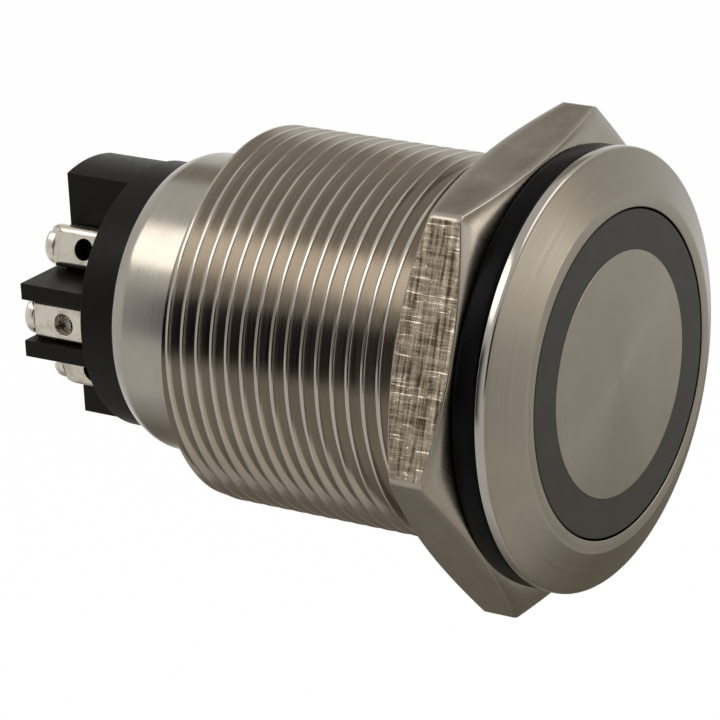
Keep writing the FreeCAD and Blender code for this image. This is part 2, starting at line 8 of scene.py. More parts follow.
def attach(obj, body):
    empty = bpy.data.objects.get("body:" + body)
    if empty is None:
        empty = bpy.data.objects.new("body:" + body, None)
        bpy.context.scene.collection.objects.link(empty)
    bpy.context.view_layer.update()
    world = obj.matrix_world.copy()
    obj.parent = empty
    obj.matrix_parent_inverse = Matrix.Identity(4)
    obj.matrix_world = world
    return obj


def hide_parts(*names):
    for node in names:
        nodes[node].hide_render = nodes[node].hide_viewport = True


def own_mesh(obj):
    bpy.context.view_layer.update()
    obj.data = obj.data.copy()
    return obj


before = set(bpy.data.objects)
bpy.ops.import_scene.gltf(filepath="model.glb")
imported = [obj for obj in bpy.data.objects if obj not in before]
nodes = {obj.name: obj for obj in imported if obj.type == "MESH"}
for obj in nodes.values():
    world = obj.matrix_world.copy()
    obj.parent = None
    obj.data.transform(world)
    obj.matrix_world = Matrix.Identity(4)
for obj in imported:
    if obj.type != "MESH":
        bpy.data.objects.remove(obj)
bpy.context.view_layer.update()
scene = bpy.context.scene

# Sizes are in mm. The button's axis is Y: the bezel's rear face is at y 0, its front at -y.
MM = 0.001
RINGS = 192
SCREW_RINGS = 40

# Bezel, web and neck of the turned body
FRONT = -1.76
WELL_R = 9.3
LAND_R = 10.0
BEVEL_END = -0.57
BEZEL_R = 12.5
RIM_R = 12.44
WEB_FRONT = 7.0
WEB_REAR = 10.0
PLUNGER_BORE_R = 3.6
NECK_R = 8.79
SHOULDER_FROM = 26.05
SHOULDER_MIDDLE = (26.7, 8.5)
NECK_END = 27.0
NECK_END_R = 8.12
CHAMBER_R = 7.92

# Thread; shares are parts of one pitch
THREAD_FROM = 1.19
THREAD_TO = 21.72
PITCH = 1.0
CREST_R = 10.96
ROOT_R = CREST_R - 0.6
CREST_SHARE = 0.15
ROOT_SHARE = 0.16
FLANK_SHARE = (1 - CREST_SHARE - ROOT_SHARE) / 2
CREST_BLUNT = 0.008
ROOT_SAG = 0.03
RUN_IN = 0.5
END_BEVEL = 0.12
THREAD_WELD = 0.003

# The shares that hold points: over the crest, down one flank, through the root and up again
THREAD_SHARES = (0.0, 0.05, 0.1, 0.15, 0.27, 0.38, 0.495, 0.575, 0.655, 0.77, 0.885)

# Cap, ring moulding and gasket
CAP_R = 6.95
CAP_REAR = -0.56
RECESS_R = 6.96
RING_FRONT = -1.72
RING_R = 9.2
RING_REAR = 1.64
SOCKET_R = 3.52
SOCKET_FLOOR = 0.04
GASKET_FROM = 0.02
GASKET_TO = 1.53
GASKET_BORE_R = 11.0
GASKET_R = 12.44

# Nut; angles are in degrees about Y, from the top
NUT_FRONT = 1.55
NUT_REAR = 5.45
NUT_BORE_R = 11.04
NUT_FACE_R = 12.2
HALF_FLATS = 12.525
NUT_CORNER_R = 14.463
NUT_BLUNT_R = 14.37
FRONT_DROP = 0.89
REAR_DROP = 1.09
NUT_EDGE = 0.07
NUT_EDGE_CUT = 0.02
NUT_TURN = 14
WORN_FLAT = NUT_TURN + 60
FLAT_FACING = 0.995

# Edges of base and clamps: below the flat angle they go, above the edge angle they are rounded
NODE_WELD = 0.002
FLAT_ANGLE = 0.6
EDGE_ANGLE = 28
EDGE_STEPS = 3
BASE_ROUND = 0.12
CLAMP_ROUND = 0.08
CLAMP_BEND = 0.42
BEND_STEPS = 6

# Terminals and their screws
BASE_TURN = 5
CORNER_ANGLE = 40
CORNER_FACING = 17.5
CORNER_REACH = 5.977
MIDDLE_REACH = 6.998
SCREW_INSET = 1.1
SHANK_FROM = 32.1
SHANK_R = 0.5
HEAD_FROM = 33.4
HEAD_R = 1.2
HEAD_SIDE_TO = 34.0
DOME_MIDDLE = (34.32, 0.75)
HEAD_TOP = 34.4
SLOT_FLOOR = 33.8
SLOT_HALF = 0.24
SLOT_WALL = 0.02
SLOT_TURNS = (0.9, 1.57, 0.3, -0.5, 1.2, 0.1)

# Camera: its turn and rise in degrees, its place to the right, up and back in mm
CAMERA_TURN = -56.8
CAMERA_RISE = 16.1
CAMERA_PLACE = (-12.86, 0.53, 232.19)
LENS = 210.45
SENSOR = 36

# Lamps: place and size in metres, power in watts, colour
LAMP_AIM = (0, 0.012, 0)
LAMPS = {
    "window": ((-0.3, 0.31, 0.375), 0.25, 0.58, (1.0, 0.98, 0.95)),
    "front_window": ((0.05, -0.39, 0.09), 0.075, 0.02, (1.0, 0.97, 0.92)),
    "second_window": ((0.17, -0.345, 0.1), 0.1, 0.085, (1.0, 0.97, 0.93)),
    "overhead": ((0.1, -0.3, 0.7), 0.6, 2.4, (1.0, 0.98, 0.95)),
}

# Cards: centre and half sides in metres, colour
CARD_FADE = 3.0
CARDS = {
    "side_card": ((-0.055, 0.0405, 0.003), (0, 0.019, 0), (0, 0, 0.021), (0.015, 0.011, 0.008)),
    "front_card": ((-0.018, -0.12, -0.016), (0.02, 0, 0), (0, 0, 0.026), (0.06, 0.045, 0.03)),
    "upper_card": ((0.17, -0.22, 0.15), (0.14, 0.09, 0), (0, 0, 0.055), (0.42, 0.38, 0.33)),
    "low_card": ((0.105, 0.02, -0.0585), (0.145, 0, 0), (0, 0.075, 0), (0.27, 0.24, 0.2)),
    "low_right_card": ((0.125, -0.1, -0.0586), (0.05, 0, 0), (0, 0.05, 0), (0.55, 0.51, 0.45)),
    "top_card": ((0.171, 0.161, 0.198), (0.067, -0.074, 0), (0, 0, 0.08), (0.45, 0.4, 0.34)),
    "low_front_card": ((-0.025, -0.085, -0.0585), (0.04, 0, 0), (0, 0.08, 0), (0.85, 0.8, 0.7)),
    "camera_card": ((-0.25, -0.145, 0.09), (0.08, -0.139, 0), (0, 0, 0.12), (0.03, 0.025, 0.02)),
}

# Floor, in metres, and world
FLOOR_HALF = 6.0
FLOOR_LEVEL = -0.06
FLOOR_GREY = 0.86
FLOOR_GLOW = 1.02
FLOOR_GLOW_SHARE = 0.93
WORLD_LIGHT = 0.55


# Mesh helpers

def turned(y, r, angle):
    """The place in metres at y and radius r, turned by an angle in radians about Y."""
    return (-r * math.sin(angle) * MM, y * MM, r * math.cos(angle) * MM)


def outward(degrees):
    """The direction that points away from the axis at this angle."""
    angle = math.radians(degrees)
    return Vector((-math.sin(angle), 0, math.cos(angle)))


def link(name, mesh, body, replaces):
    """A visible piece that rides on a body and takes the place of some nodes."""
    piece = bpy.data.objects.new(name, mesh)
    scene.collection.objects.link(piece)
    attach(piece, body)
    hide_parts(*replaces)
    return piece


def smooth(mesh, degrees):
    """Shades the mesh smooth, but keeps edges sharper than this angle."""
    for face in mesh.polygons:
        face.use_smooth = True
    mesh.set_sharp_from_angle(angle=math.radians(degrees))


def bake(piece):
    """Applies the piece's modifiers to its mesh."""
    bpy.context.view_layer.update()
    graph = bpy.context.evaluated_depsgraph_get()
    mesh = bpy.data.meshes.new_from_object(piece.evaluated_get(graph))
    piece.modifiers.clear()
    piece.data = mesh


def weigh_normals(piece):
    """Lets large faces rule the shading, so that flats look flat up to their rounded edges."""
    mod = piece.modifiers.new("normals", "WEIGHTED_NORMAL")
    mod.keep_sharp = True
    mod.weight = 100
    bake(piece)


def rounded(corners, steps=4):
    """A profile of (y, r, radius) corners as plain points, each corner rounded by its radius."""
    # A rounding takes at most this share of each of the two edges beside it.
    most = 0.48
    out = []
    for i, (y, r, radius) in enumerate(corners):
        here = Vector((y, r))
        if radius <= 0 or i in (0, len(corners) - 1):
            out.append(here)
            continue
        back = Vector(corners[i - 1][:2]) - here
        ahead = Vector(corners[i + 1][:2]) - here
        half = back.angle(ahead) / 2
        reach = min(radius / math.tan(half), back.length * most, ahead.length * most)
        start = here + back.normalized() * reach
        end = here + ahead.normalized() * reach
        for k in range(steps + 1):
            t = k / steps
            out.append(start * (1 - t) ** 2 + here * 2 * t * (1 - t) + end * t ** 2)
    return out


def skin(bm, rows, round_rows=True, round_all=False, material=0):
    """Quads between neighbouring rows of points; the rows, and the whole, can be closed."""
    count = len(rows[0])
    pairs = list(zip(rows, rows[1:]))
    if round_all:
        pairs.append((rows[-1], rows[0]))
    for low, high in pairs:
        for k in range(count if round_rows else count - 1):
            n = (k + 1) % count
            face = bm.faces.new((low[k], low[n], high[n], high[k]))
            face.material_index = material


def add_rings(bm, profile, rings=RINGS, closed=False, material=0):
    """Turns a profile of (y, r) points about Y."""
    angles = [2 * math.pi * k / rings for k in range(rings)]
    rows = [[bm.verts.new(turned(y, r, angle)) for angle in angles] for y, r in profile]
    skin(bm, rows, round_all=closed, material=material)


def clean(bm, weld=0.0002):
    """Joins points that are nearer than weld, in mm, and turns all faces outwards."""
    bmesh.ops.remove_doubles(bm, verts=bm.verts, dist=weld * MM)
    bmesh.ops.dissolve_degenerate(bm, edges=bm.edges, dist=weld * MM)
    bmesh.ops.recalc_face_normals(bm, faces=bm.faces)


def to_mesh(bm, name, materials):
    """A new mesh with the shape of bm, which is freed, and with these materials."""
    mesh = bpy.data.meshes.new(name)
    bm.to_mesh(mesh)
    bm.free()
    for material in materials:
        mesh.materials.append(material)
    return mesh


def lathe(name, corners, body, material, node, closed):
    """A turned piece that takes the place of one node."""
    bm = bmesh.new()
    add_rings(bm, rounded(corners), closed=closed)
    clean(bm)
    mesh = to_mesh(bm, name, [material])
    smooth(mesh, 32)
    weigh_normals(link(name, mesh, body, (node,)))


def fold_edges(bm):
    """The two bends of a clamp: its long convex edges furthest from the button's axis."""
    shortest = 2.5 * MM
    along = []
    for edge in bm.edges:
        run = edge.verts[1].co - edge.verts[0].co
        if abs(run.y) > 0.999 * run.length and run.length > shortest and edge.is_convex:
            along.append(edge)
    along.sort(key=lambda edge: edge.verts[0].co.xz.length)
    return along[-2:]


def softened(node, name, width, material, bend=0.0):
    """The node's own shape on the housing, its edges rounded by width and its folds by bend."""
    bm = bmesh.new()
    bm.from_mesh(nodes[node].data)
    bmesh.ops.remove_doubles(bm, verts=bm.verts, dist=NODE_WELD * MM)
    bmesh.ops.dissolve_limit(bm, angle_limit=math.radians(FLAT_ANGLE), verts=bm.verts,
                             edges=bm.edges)
    if bend:
        bmesh.ops.bevel(bm, geom=fold_edges(bm), offset=bend * MM, segments=BEND_STEPS,
                        profile=0.5, affect="EDGES")
    for face in bm.faces:
        face.material_index = 0
    piece = link(name, to_mesh(bm, name, [material]), "housing", (node,))
    mod = piece.modifiers.new("edges", "BEVEL")
    mod.width = width * MM
    mod.segments = EDGE_STEPS
    mod.limit_method = "ANGLE"
    mod.angle_limit = math.radians(EDGE_ANGLE)
    bake(piece)
    smooth(piece.data, 32)
    weigh_normals(piece)


# Node helpers

def feed(nt, socket, value):
    """Sets a socket to a number, or links another node's output to it."""
    if isinstance(value, (int, float)):
        socket.default_value = value
    else:
        nt.links.new(value, socket)


def calc(nt, operation, a, b=0.0, clamp=False):
    """The result of one step of arithmetic."""
    node = nt.nodes.new("ShaderNodeMath")
    node.operation = operation
    node.use_clamp = clamp
    feed(nt, node.inputs[0], a)
    feed(nt, node.inputs[1], b)
    return node.outputs[0]


class Shader:
    """A small builder for one principled material; its places are in mm."""

    def __init__(self, name, base, rough, metallic):
        self.mat = bpy.data.materials.new(name)
        self.mat.use_nodes = True
        self.nt = self.mat.node_tree
        self.bsdf = self.nt.nodes["Principled BSDF"]
        self.set("Base Color", (*base, 1))
        self.set("Roughness", rough)
        self.set("Metallic", metallic)
        coords = self.nt.nodes.new("ShaderNodeTexCoord")
        scale = self.nt.nodes.new("ShaderNodeVectorMath")
        scale.operation = "MULTIPLY"
        scale.inputs[1].default_value = (1 / MM, 1 / MM, 1 / MM)
        self.nt.links.new(coords.outputs["Object"], scale.inputs[0])
        self.place = scale.outputs[0]
        split = self.nt.nodes.new("ShaderNodeSeparateXYZ")
        self.nt.links.new(self.place, split.inputs[0])
        self.x, self.y, self.z = split.outputs

    def set(self, socket, value):
        self.bsdf.inputs[socket].default_value = value

    def drive(self, socket, output):
        self.nt.links.new(output, self.bsdf.inputs[socket])

    def scaled(self, value, factor):
        return calc(self.nt, "MULTIPLY", value, factor)

    def total(self, first, *others):
        for other in others:
            first = calc(self.nt, "ADD", first, other)
        return first

    def blend(self, first, second, share):
        """This share of the first value and the rest of the second."""
        return self.total(self.scaled(first, share), self.scaled(second, 1 - share))

    def radius(self):
        squares = [calc(self.nt, "MULTIPLY", side, side) for side in (self.x, self.z)]
        return calc(self.nt, "SQRT", self.total(*squares))

    def vector(self, *parts):
        node = self.nt.nodes.new("ShaderNodeCombineXYZ")
        for socket, value in zip(node.inputs, parts):
            feed(self.nt, socket, value)
        return node.outputs[0]

    def noise(self, vector, scale, detail, rough, distortion=0.0):
        node = self.nt.nodes.new("ShaderNodeTexNoise")
        node.inputs["Scale"].default_value = scale
        node.inputs["Detail"].default_value = detail
        node.inputs["Roughness"].default_value = rough
        node.inputs["Distortion"].default_value = distortion
        self.nt.links.new(vector, node.inputs["Vector"])
        return node.outputs["Fac"]

    def lathe_marks(self, lines):
        """Fine rings about the button's axis."""
        return self.noise(self.vector(self.radius(), self.y), lines, 3, 0.6)

    def spread(self, value, low, high, out_low, out_high):
        """The value's range from low to high, mapped to another range and held at its ends."""
        node = self.nt.nodes.new("ShaderNodeMapRange")
        for i, number in enumerate((low, high, out_low, out_high), 1):
            node.inputs[i].default_value = number
        self.nt.links.new(value, node.inputs[0])
        return node.outputs[0]

    def colours(self, value, stops):
        """Colours the surface by a ramp over the value."""
        node = self.nt.nodes.new("ShaderNodeValToRGB")
        while len(node.color_ramp.elements) < len(stops):
            node.color_ramp.elements.new(0.5)
        for element, (at, colour) in zip(node.color_ramp.elements, stops):
            element.position = at
            element.color = (*colour, 1)
        self.nt.links.new(value, node.inputs[0])
        self.drive("Base Color", node.outputs[0])

    def tints(self, value, base, tint):
        """Colours the surface a little darker and lighter than its base."""
        darker, lighter = [tuple(c * factor for c in base) for factor in (1 - tint, 1 + tint)]
        self.colours(value, [(0.3, darker), (0.7, lighter)])

    def roughness(self, value, low, high, rough_low, rough_high):
        self.drive("Roughness", self.spread(value, low, high, rough_low, rough_high))

    def bump(self, height, strength, depth):
        node = self.nt.nodes.new("ShaderNodeBump")
        node.inputs["Strength"].default_value = strength
        node.inputs["Distance"].default_value = depth * MM
        self.nt.links.new(height, node.inputs["Height"])
        self.drive("Normal", node.outputs[0])

    def radial_tangent(self):
        node = self.nt.nodes.new("ShaderNodeTangent")
        node.direction_type = "RADIAL"
        node.axis = "Y"
        self.drive("Tangent", node.outputs[0])


# Materials

def turned_steel(name, base, rough, lines, streak, relief):
    """Steel with fine concentric lathe marks about the button's axis."""
    s = Shader(name, base, rough, metallic=1.0)
    s.set("Anisotropic", streak)
    marks = s.lathe_marks(lines)
    patches = s.noise(s.place, 0.35, 4, 0.6)
    s.tints(s.blend(marks, patches, 0.5), base, 0.1)
    s.roughness(marks, 0.25, 0.75, rough - 0.05, rough + 0.07)
    s.bump(marks, relief, 0.01)
    s.radial_tangent()
    return s.mat


def nut_steel():
    """The nut's bevels and clean flats: faint marks and soft patches."""
    s = Shader("nut_steel", (0.27, 0.24, 0.2), 0.34, metallic=1.0)
    marks = s.lathe_marks(6.0)
    patches = s.noise(s.place, 0.4, 4, 0.6)
    s.colours(s.blend(marks, patches, 0.4),
              [(0.3, (0.25, 0.222, 0.185)), (0.7, (0.31, 0.28, 0.235))])
    s.roughness(patches, 0.3, 0.7, 0.22, 0.32)
    s.bump(marks, 0.2, 0.01)
    return s.mat


def worn_glinting_steel():
    """The nut's scratched flat: long grooves, rubs across them, cuts and pits, with a painted
    highlight as glints on the cuts and pits.
    """
    s = Shader("nut_steel_scratched_glints", (0.27, 0.24, 0.2), 0.34, metallic=1.0)
    turn = math.radians(WORN_FLAT)
    along = s.total(s.scaled(s.x, -math.cos(turn)), s.scaled(s.z, -math.sin(turn)))
    grooves = s.noise(s.vector(s.scaled(along, 0.22), s.scaled(s.y, 3.4), 3.0), 1.0, 3, 0.65, 0.15)
    rubs = s.noise(s.vector(s.scaled(along, 3.2), s.scaled(s.y, 0.5), 7.0), 1.0, 4, 0.7)
    cuts_and_glints = s.noise(s.vector(s.scaled(along, 5.0), s.scaled(s.y, 0.3)), 1.0, 2, 0.6)
    pits_and_glints = s.noise(s.place, 4.0, 2, 0.6)
    wear_and_glints = s.total(s.spread(grooves, 0.36, 0.62, 0.0, 0.54), s.spread(rubs, 0.36, 0.64, -0.17, 0.19),
                   s.spread(cuts_and_glints, 0.585, 0.685, 0.0, 0.4), s.spread(pits_and_glints, 0.64, 0.78, 0.0, 0.5))
    # Painted highlight: the near-white top of this ramp stands for glints where the cuts and pits
    # add up.
    s.colours(wear_and_glints, [(0.02, (0.072, 0.053, 0.036)), (0.24, (0.235, 0.187, 0.133)),
                     (0.56, (0.47, 0.396, 0.3)), (0.88, (1.0, 0.92, 0.77))])
    s.roughness(wear_and_glints, 0.1, 0.8, 0.46, 0.28)
    s.bump(wear_and_glints, 0.5, 0.05)
    return s.mat


def plastic(name, base, rough, gloss, ior, grain, relief, tint):
    """Moulded plastic, rubber or lacquer with a fine grain and soft patches."""
    s = Shader(name, base, rough, metallic=0.0)
    s.set("Specular IOR Level", gloss)
    s.set("IOR", ior)
    fine = s.noise(s.place, grain, 4, 0.6)
    s.tints(s.noise(s.place, 0.5, 3, 0.6), base, tint)
    s.roughness(fine, 0.3, 0.7, rough - 0.06, rough + 0.06)
    s.bump(fine, relief, 0.02)
    return s.mat


def plated(name, base, rough, stain):
    """Bright metal that is a little dull and brown in patches."""
    s = Shader(name, base, rough, metallic=1.0)
    fine = s.noise(s.place, 3.0, 2, 0.5)
    s.colours(s.noise(s.place, 0.9, 4, 0.65), [(0.36, stain), (0.56, base)])
    s.roughness(fine, 0.3, 0.7, rough - 0.04, rough + 0.08)
    s.bump(fine, 0.03, 0.01)
    return s.mat


# Bezel, thread, neck and rim are one turned steel. The thread, neck and rim bases are lighter than
# the bezel's, which is painted highlight; only their roughness and marks are their own finish.
bezel_mat = turned_steel("bezel_steel", (0.25, 0.223, 0.18), rough=0.3,
                         lines=9.0, streak=0.55, relief=0.25)
thread_mat = turned_steel("thread_steel", (0.36, 0.326, 0.28), rough=0.15,
                          lines=7.0, streak=0.25, relief=0.06)
neck_mat = turned_steel("neck_steel", (0.3, 0.276, 0.238), rough=0.19,
                        lines=6.0, streak=0.2, relief=0.08)
rim_mat = turned_steel("rim_steel", (0.32, 0.298, 0.262), rough=0.14,
                       lines=8.0, streak=0.3, relief=0.05)
cap_mat = turned_steel("cap_steel", (0.25, 0.224, 0.182), rough=0.3,
                       lines=12.0, streak=0.75, relief=0.35)
nut_mat = nut_steel()
worn_glint_mat = worn_glinting_steel()
ring_mat = plastic("ring_moulding", (0.043, 0.039, 0.032), rough=0.34, gloss=0.25, ior=1.3,
                   grain=5.0, relief=0.05, tint=0.08)
rubber_mat = plastic("gasket_rubber", (0.002, 0.002, 0.0022), rough=0.3, gloss=0.1, ior=1.3,
                     grain=5.0, relief=0.5, tint=0.4)
black_mat = plastic("black_moulding", (0.007, 0.0065, 0.0055), rough=0.4, gloss=0.2, ior=1.3,
                    grain=4.0, relief=0.25, tint=0.15)
pale_mat = plastic("pale_moulding", (0.78, 0.77, 0.71), rough=0.5, gloss=0.4, ior=1.45,
                   grain=4.0, relief=0.1, tint=0.04)
board_mat = plastic("board_lacquer", (0.03, 0.16, 0.07), rough=0.3, gloss=0.5, ior=1.45,
                    grain=6.0, relief=0.1, tint=0.15)
lamp_mat = plastic("lamp_resin", (0.85, 0.8, 0.55), rough=0.15, gloss=0.5, ior=1.45,
                   grain=2.0, relief=0.02, tint=0.04)
nickel_mat = plated("nickel", (0.55, 0.51, 0.435), rough=0.25, stain=(0.4, 0.355, 0.285))
screw_mat = plated("screw_nickel", (0.58, 0.545, 0.475), rough=0.22, stain=(0.42, 0.375, 0.3))
brass_mat = plated("contact_brass", (0.7, 0.5, 0.2), rough=0.3, stain=(0.5, 0.33, 0.12))
spring_mat = plated("spring_steel", (0.42, 0.42, 0.42), rough=0.28, stain=(0.3, 0.29, 0.28))


# Turned body

def thread_radius(share):
    """Radius at a share of the pitch: a blunt crest, two flanks and a round root."""
    share %= 1.0
    top = CREST_R - CREST_BLUNT
    if share < CREST_SHARE:
        return CREST_R - CREST_BLUNT * (2 * share / CREST_SHARE - 1) ** 2
    share -= CREST_SHARE
    if share < FLANK_SHARE:
        return top + (ROOT_R - top) * share / FLANK_SHARE
    share -= FLANK_SHARE
    if share < ROOT_SHARE:
        return ROOT_R - ROOT_SAG * math.sin(math.pi * share / ROOT_SHARE)
    share -= ROOT_SHARE
    return ROOT_R + (top - ROOT_R) * share / FLANK_SHARE


def thread_point(turn, share, way_round):
    """The thread's (y, r) at a share of this turn's pitch; way_round goes from 0 to 1 a turn."""
    y = THREAD_FROM + PITCH * (turn + share - way_round)
    if y > THREAD_TO:
        y = THREAD_TO
        share = (THREAD_TO - THREAD_FROM) / PITCH - turn + way_round
    y = max(y, THREAD_FROM)
    run_in = min(1.0, (y - THREAD_FROM) / RUN_IN)
    r = ROOT_R + (thread_radius(share) - ROOT_R) * run_in
    return y, min(r, CREST_R - max(0.0, y - THREAD_TO + END_BEVEL))


def add_thread(bm, material):
    """A right-handed thread that starts shallow and is bevelled at its rear end."""
    rows = []
    for turn in range(-1, int((THREAD_TO - THREAD_FROM) / PITCH) + 3):
        for share in THREAD_SHARES:
            row = []
            for k in range(RINGS + 1):
                y, r = thread_point(turn, share, k / RINGS)
                row.append(bm.verts.new(turned(y, r, 2 * math.pi * (k % RINGS) / RINGS)))
            rows.append(row)
    skin(bm, rows, round_rows=False, material=material)


def threaded_barrel():
    """Bezel, threaded barrel and neck in one, with the well in front and the chamber behind."""
    bezel, thread, neck, rim = range(4)
    bm = bmesh.new()
    add_rings(bm, rounded([
        (WEB_FRONT, PLUNGER_BORE_R, 0), (WEB_FRONT, WELL_R, 0), (FRONT, WELL_R, 0.06),
        (FRONT, LAND_R, 0.5), (BEVEL_END, BEZEL_R, 0.26), (0.0, BEZEL_R, 0.06),
        (0.0, ROOT_R, 0), (THREAD_FROM, ROOT_R, 0)], 5), material=bezel)
    # The rim takes the rim steel, whose lighter base is a painted highlight.
    for face in bm.faces:
        if face.calc_center_median().xz.length > RIM_R * MM:
            face.material_index = rim
    add_thread(bm, thread)
    add_rings(bm, rounded([
        (THREAD_TO, ROOT_R, 0), (THREAD_TO, NECK_R, 0.12), (SHOULDER_FROM, NECK_R, 1.6),
        (*SHOULDER_MIDDLE, 0.6), (NECK_END, NECK_END_R, 0.2), (NECK_END, CHAMBER_R, 0.05),
        (WEB_REAR, CHAMBER_R, 0), (WEB_REAR, PLUNGER_BORE_R, 0),
        (WEB_FRONT, PLUNGER_BORE_R, 0)], 12), material=neck)
    clean(bm, THREAD_WELD)
    mesh = to_mesh(bm, "threaded_barrel", [bezel_mat, thread_mat, neck_mat, rim_mat])
    smooth(mesh, 24)
    weigh_normals(link("threaded_barrel", mesh, "housing", ("bezel_barrel",)))


# Button face and gasket

def button_face():
    """The brushed cap in the ring moulding, which has a socket behind for the plunger."""
    lathe("brushed_cap", [
        (FRONT, 0.0, 0), (FRONT, CAP_R, 0.05), (CAP_REAR, CAP_R, 0), (CAP_REAR, 0.0, 0)],
        "button", cap_mat, "button_cap", closed=False)
    lathe("ring_moulding", [
        (RING_FRONT, RECESS_R, 0.04), (RING_FRONT, RING_R, 0.1), (RING_REAR, RING_R, 0.1),
        (RING_REAR, SOCKET_R, 0), (SOCKET_FLOOR, SOCKET_R, 0), (SOCKET_FLOOR, 0.0, 0),
        (CAP_REAR, 0.0, 0), (CAP_REAR, RECESS_R, 0), (RING_FRONT, RECESS_R, 0)],
        "button", ring_mat, "light_ring", closed=False)


def rubber_gasket():
    """The seal under the bezel, with its outer edges rounded."""
    lathe("rubber_gasket", [
        (GASKET_FROM, GASKET_BORE_R, 0), (GASKET_FROM, GASKET_R, 0.3),
        (GASKET_TO, GASKET_R, 0.3), (GASKET_TO, GASKET_BORE_R, 0)],
        "housing", rubber_mat, "panel_gasket", closed=True)


# Nut

def nut_front(r):
    """Where the front bevel lies at this radius."""
    return NUT_FRONT + FRONT_DROP * (r - NUT_FACE_R) / (NUT_CORNER_R - NUT_FACE_R)


def nut_rear(r):
    """Where the rear bevel lies at this radius."""
    return NUT_REAR - REAR_DROP * (r - NUT_FACE_R) / (NUT_CORNER_R - NUT_FACE_R)


def nut_section(reach):
    """The nut's section where its side stands at this reach: bore, faces, bevels and side."""
    inside = reach - NUT_EDGE
    middle = (NUT_FACE_R + inside) / 2
    low, high = nut_front(reach) + NUT_EDGE, nut_rear(reach) - NUT_EDGE
    side = [(low + (high - low) * i / 5, reach) for i in range(6)]
    cut = reach - NUT_EDGE_CUT
    return [(NUT_FRONT, NUT_BORE_R), (NUT_FRONT, NUT_FACE_R), (nut_front(middle), middle),
            (nut_front(inside), inside), (nut_front(reach) + NUT_EDGE_CUT, cut), *side,
            (nut_rear(reach) - NUT_EDGE_CUT, cut), (nut_rear(inside), inside),
            (nut_rear(middle), middle), (NUT_REAR, NUT_FACE_R), (NUT_REAR, NUT_BORE_R)]


def panel_nut():
    """A hexagonal nut with both faces bevelled and its six long edges blunted."""
    bm = bmesh.new()
    # Each side is split evenly, and more closely near its corners.
    offsets = [-29.25, -28.8, *[i * 1.5 for i in range(-18, 19)], 28.8, 29.25, 30.0]
    rows = []
    for side in range(6):
        for offset in offsets:
            angle = math.radians(NUT_TURN + 60 * side + offset)
            reach = min(HALF_FLATS / math.cos(math.radians(offset)), NUT_BLUNT_R)
            rows.append([bm.verts.new(turned(y, r, angle)) for y, r in nut_section(reach)])
    skin(bm, rows, round_all=True)
    clean(bm)
    mesh = to_mesh(bm, "panel_nut", [nut_mat, worn_glint_mat])
    smooth(mesh, 50)
    piece = link("panel_nut", mesh, "nut", ("hex_nut",))
    weigh_normals(piece)
    # The flat facing WORN_FLAT takes the scratched steel, whose cuts and pits carry painted glints.
    for face in piece.data.polygons:
        if face.normal.dot(outward(WORN_FLAT)) > FLAT_FACING:
            face.material_index = 1


# Base, clamps and screws

def base_and_clamps():
    """The moulded base and the six folded clamps, all with softened edges."""
    softened("switch_base", "moulded_base", BASE_ROUND, black_mat)
    for number in range(1, 7):
        softened("terminal_clamp_%d" % number, "folded_clamp_%d" % number, CLAMP_ROUND,
                 nickel_mat, CLAMP_BEND)


def add_screw(bm, centre, slot_turn):
    """A domed head with a slot, and its shank, about an axis along Y through centre."""
    part = bmesh.new()
    add_rings(part, rounded([
        (SHANK_FROM, 0.0, 0), (SHANK_FROM, SHANK_R, 0.1), (HEAD_FROM, SHANK_R, 0),
        (HEAD_FROM, HEAD_R, 0.12), (HEAD_SIDE_TO, HEAD_R, 0.3),
        (*DOME_MIDDLE, 0.6), (HEAD_TOP, 0.0, 0)]), SCREW_RINGS)
    clean(part, 0.0001)
    # The slot is pressed in: points between its walls go down to its floor.
    for wall in (-SLOT_HALF, SLOT_HALF):
        for offset in (wall - SLOT_WALL, wall + SLOT_WALL):
            geometry = part.verts[:] + part.edges[:] + part.faces[:]
            bmesh.ops.bisect_plane(part, geom=geometry, plane_co=(offset * MM, 0, 0),
                                   plane_no=(1, 0, 0), dist=1e-8)
    for vert in part.verts:
        if abs(vert.co.x) < SLOT_HALF * MM and vert.co.y > SLOT_FLOOR * MM:
            vert.co.y = SLOT_FLOOR * MM
    turn = Matrix.Rotation(slot_turn, 4, "Y")
    part.transform(Matrix.Translation((centre.x, 0, centre.z)) @ turn)
    copies = {vert: bm.verts.new(vert.co) for vert in part.verts}
    for face in part.faces:
        bm.faces.new([copies[vert] for vert in face.verts])
    part.free()


def screw_places():
    """Angle, reach and facing of the six clamps that the screws stand in."""
    places = []
    for side in (90, 270):
        for way in (-1, 0, 1):
            reach = CORNER_REACH if way else MIDDLE_REACH
            places.append((side + way * CORNER_ANGLE, reach, side + way * CORNER_FACING))
    return places


def slotted_screws():
    """The six clamp screws as one piece, each with its slot at its own turn."""
    bm = bmesh.new()
    for (angle, reach, facing), slot_turn in zip(screw_places(), SLOT_TURNS):
        facing += BASE_TURN
        centre = outward(angle + BASE_TURN) * reach - outward(facing) * SCREW_INSET
        add_screw(bm, centre * MM, slot_turn - math.radians(facing))
    clean(bm, 0.00001)
    mesh = to_mesh(bm, "slotted_screws", [screw_mat])
    smooth(mesh, 30)
    link("slotted_screws", mesh, "housing", ("terminal_screws",))


# Springs

